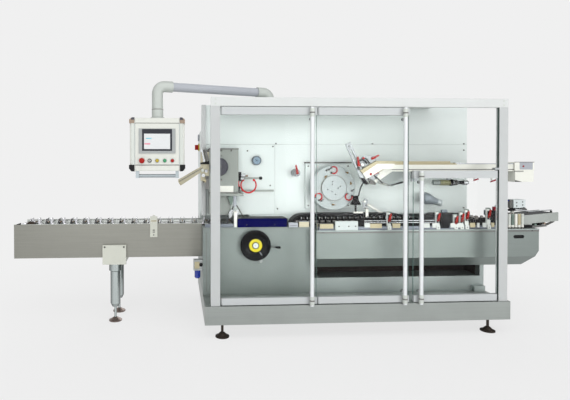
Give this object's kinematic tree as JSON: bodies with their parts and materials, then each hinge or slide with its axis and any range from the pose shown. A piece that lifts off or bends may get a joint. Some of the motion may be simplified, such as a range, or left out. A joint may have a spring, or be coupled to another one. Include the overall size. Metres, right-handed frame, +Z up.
{
  "type": "automatic cartoner",
  "caption": "Guarded horizontal cartoning machine with bucket infeed, rotary carton feeder, blank magazine, lug chain, discharge and operator panel on a swivel arm.",
  "frame": {"origin": "on the floor, below the middle of the whole machine's bounding box", "axes": "+X along the product flow from infeed to discharge, +Y from the door side to the rear, +Z up"},
  "size_m": [4.55, 1.343, 1.941],
  "materials": {
    "stainless_sheet": "satin brushed sheet",
    "dark_body": "matt dark",
    "foot_iron": "dark oxide",
    "blue_paint": "gloss",
    "guard_white": "satin powder coat",
    "wall_white": "satin powder coat",
    "switch_yellow": "moulded",
    "pivot_steel": "bright",
    "belt_beige": "matt",
    "chain_steel": "oiled",
    "black_cover": "matt",
    "white_plastic": "moulded",
    "lever_red": "moulded",
    "folder_grey": "satin",
    "gauge_steel": "satin",
    "bucket_steel": "bright",
    "cream_paint": "satin",
    "leg_steel": "polished",
    "bracket_paint": "satin",
    "air_blue": "clear bowl",
    "discharge_steel": "satin",
    "belt_dark": "matt",
    "arm_paint": "satin",
    "screen_grey": "moulded bezel",
    "button_red": "moulded",
    "door_white": "satin powder coat",
    "clear_panel": "clear acrylic",
    "wheel_black": "moulded",
    "drum_white": "satin"
  },
  "bodies": {
    "machine": {"base_plinth": "stainless_sheet", "machine_feet": "foot_iron", "drive_cabinet": "stainless_sheet", "lower_panel": "stainless_sheet", "machine_bed": "dark_body", "carton_trough": "stainless_sheet", "blue_cover": "blue_paint", "guard_posts": "guard_white", "top_beam": "guard_white", "roof_panel": "guard_white", "wall_panels": "wall_white", "rear_housing": "wall_white", "rear_panels": "stainless_sheet", "main_switch": "switch_yellow", "door_pivots": "pivot_steel", "feeder_plate": "wall_white", "shaft_clamp": "pivot_steel", "magazine_bed": "wall_white", "magazine_belt": "belt_beige", "magazine_brackets": "pivot_steel", "magazine_arm": "pivot_steel", "carton_chain": "chain_steel", "chain_rails": "pivot_steel", "chain_hood": "black_cover", "clamp_posts": "white_plastic", "clamp_levers": "lever_red", "carton_opener": "black_cover", "leaflet_folder": "folder_grey", "folder_hose": "lever_red", "leaflet_tray": "belt_beige", "pressure_gauge": "gauge_steel", "infeed_panels": "stainless_sheet", "infeed_floor": "stainless_sheet", "infeed_chain": "pivot_steel", "bucket_floors": "bucket_steel", "bucket_walls": "bucket_steel", "infeed_leg_block": "cream_paint", "infeed_legs": "leg_steel", "sensor_bracket": "bracket_paint", "air_unit": "air_blue", "discharge_frame": "discharge_steel", "discharge_belt": "belt_dark", "discharge_guides": "white_plastic", "folder_motor": "folder_grey", "arm_base": "cream_paint"},
    "left_door": {"left_door_rails": "door_white", "left_door_glass": "clear_panel"},
    "middle_door": {"middle_door_rails": "door_white", "middle_door_glass": "clear_panel"},
    "right_door": {"right_door_rails": "door_white", "right_door_glass": "clear_panel"},
    "handwheel": {"handwheel": "wheel_black"},
    "feeder_rotor": {"feeder_drum": "drum_white", "feeder_hoses": "lever_red"},
    "hmi_arm": {"arm_tube": "arm_paint"},
    "hmi_panel": {"hmi_box": "cream_paint", "hmi_screen": "screen_grey", "hmi_buttons": "button_red", "hmi_handle": "leg_steel"}
  },
  "joints": [
    {"name": "left_door_hinge", "type": "hinge", "parent": "machine", "child": "left_door", "pos_m": [-0.585, -0.5435, 1], "axis": [0, 0, -1], "range_deg": [0, 100]},
    {"name": "middle_door_hinge", "type": "hinge", "parent": "machine", "child": "middle_door", "pos_m": [0.154, -0.5435, 1], "axis": [0, 0, -1], "range_deg": [0, 100]},
    {"name": "right_door_hinge", "type": "hinge", "parent": "machine", "child": "right_door", "pos_m": [1.548, -0.5435, 0.76], "axis": [0, 0, 1], "range_deg": [0, 100]},
    {"name": "handwheel_spin", "type": "hinge", "parent": "machine", "child": "handwheel", "pos_m": [-0.297, -0.2885, 0.661], "axis": [0, -1, 0], "continuous": true},
    {"name": "feeder_spin", "type": "hinge", "parent": "machine", "child": "feeder_rotor", "pos_m": [0.39, -0.1835, 1.117], "axis": [0, -1, 0], "continuous": true},
    {"name": "arm_swivel", "type": "hinge", "parent": "machine", "child": "hmi_arm", "pos_m": [-0.177, -0.2675, 1.833], "axis": [0, 0, -1], "range_deg": [-80, 10]},
    {"name": "panel_swivel", "type": "hinge", "parent": "hmi_arm", "child": "hmi_panel", "pos_m": [-1.072, -0.5685, 1.729], "axis": [0, 0, 1], "range_deg": [-90, 90]}
  ]
}
